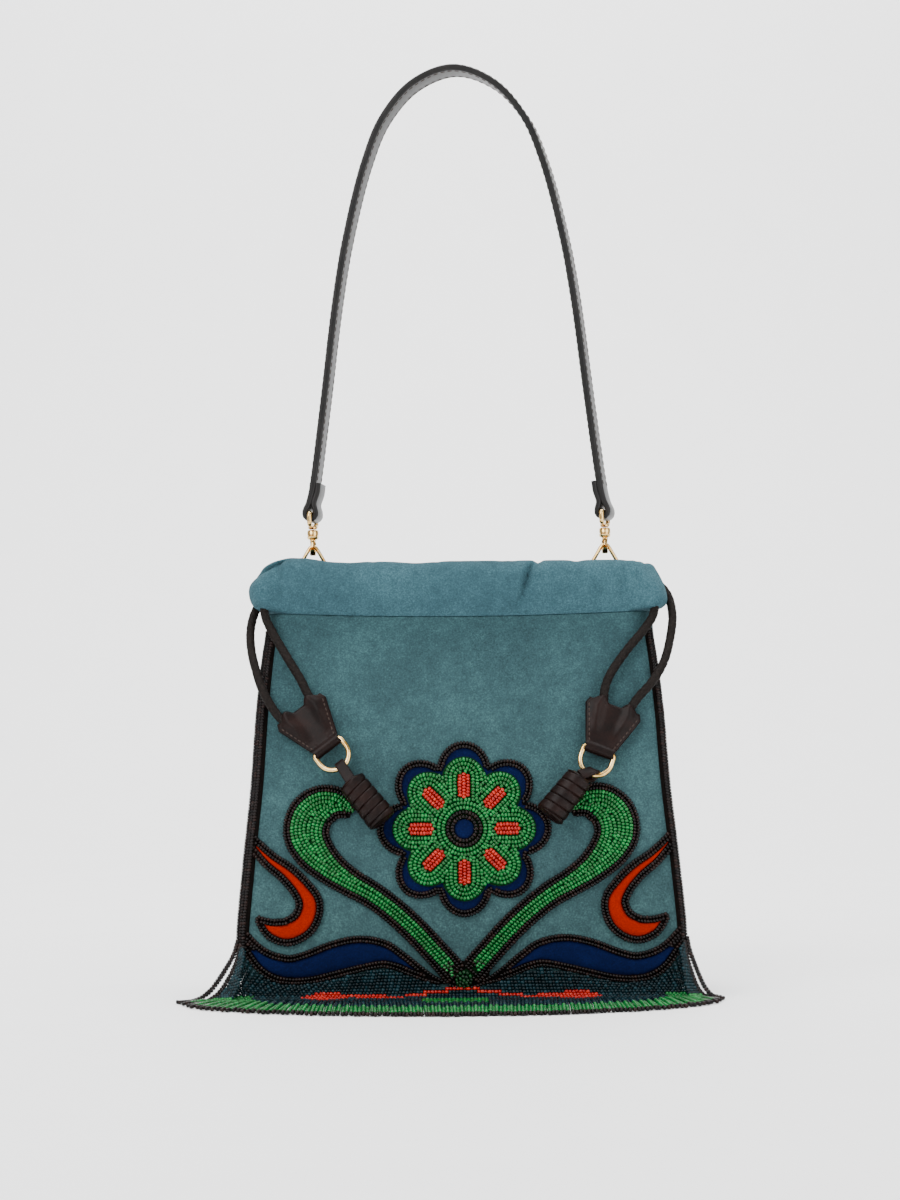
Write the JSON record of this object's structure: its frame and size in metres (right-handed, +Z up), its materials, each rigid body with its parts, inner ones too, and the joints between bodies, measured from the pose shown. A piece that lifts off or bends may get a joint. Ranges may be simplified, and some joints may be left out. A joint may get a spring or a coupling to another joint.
{
  "type": "suede bucket bag",
  "caption": "Soft suede bucket bag that carries small things, with a drawstring mouth, leather shoulder strap on snap hooks, beaded floral applique and a bead fringe.",
  "frame": {"origin": "on the floor, under the middle of the whole piece with its fringe laid out", "axes": "+Z up, -Y out of the beaded front, +X to the right of someone who looks at the front"},
  "size_m": [0.2654, 0.145, 0.4399],
  "materials": {
    "teal_suede": "napped",
    "navy_suede": "napped",
    "orange_suede": "napped",
    "black_cord": "twisted",
    "brown_leather": "satin",
    "black_leather": "satin",
    "gold_metal": "polished",
    "green_beads": "opaque gloss",
    "brown_beads": "opaque gloss",
    "teal_beads": "opaque gloss"
  },
  "bodies": {
    "bag": {"bag_body": "teal_suede", "drawstring_casing": "teal_suede", "strap": "black_leather", "flower_ground": "navy_suede", "flower_petals": "green_beads", "stem_knot": "green_beads", "bead_fringe": "teal_beads", "drawcord_left": "black_cord", "cord_tab_left": "brown_leather", "d_ring_left": "gold_metal", "cord_barrel_left": "brown_leather", "hook_eye_left": "gold_metal", "hook_claw_left": "gold_metal", "triangle_ring_left": "gold_metal", "ring_tab_left": "brown_leather", "edge_rope_left": "brown_beads", "scroll_left": "green_beads", "crescent_left": "orange_suede", "leaf_left": "navy_suede", "drawcord_right": "black_cord", "cord_tab_right": "brown_leather", "d_ring_right": "gold_metal", "cord_barrel_right": "brown_leather", "hook_eye_right": "gold_metal", "hook_claw_right": "gold_metal", "triangle_ring_right": "gold_metal", "ring_tab_right": "brown_leather", "edge_rope_right": "brown_beads", "scroll_right": "green_beads", "crescent_right": "orange_suede", "leaf_right": "navy_suede"},
    "gate_left": {"hook_gate_left": "gold_metal"},
    "gate_right": {"hook_gate_right": "gold_metal"}
  },
  "joints": [
    {"name": "gate_left_hinge", "type": "hinge", "parent": "bag", "child": "gate_left", "pos_m": [-0.0696, 0.03427, 0.21447], "axis": [1, 0, 0], "range_deg": [0, 25], "stiffness_Nm_per_rad": 0.002},
    {"name": "gate_right_hinge", "type": "hinge", "parent": "bag", "child": "gate_right", "pos_m": [0.0696, 0.03427, 0.21447], "axis": [1, 0, 0], "range_deg": [0, 25], "stiffness_Nm_per_rad": 0.002}
  ]
}
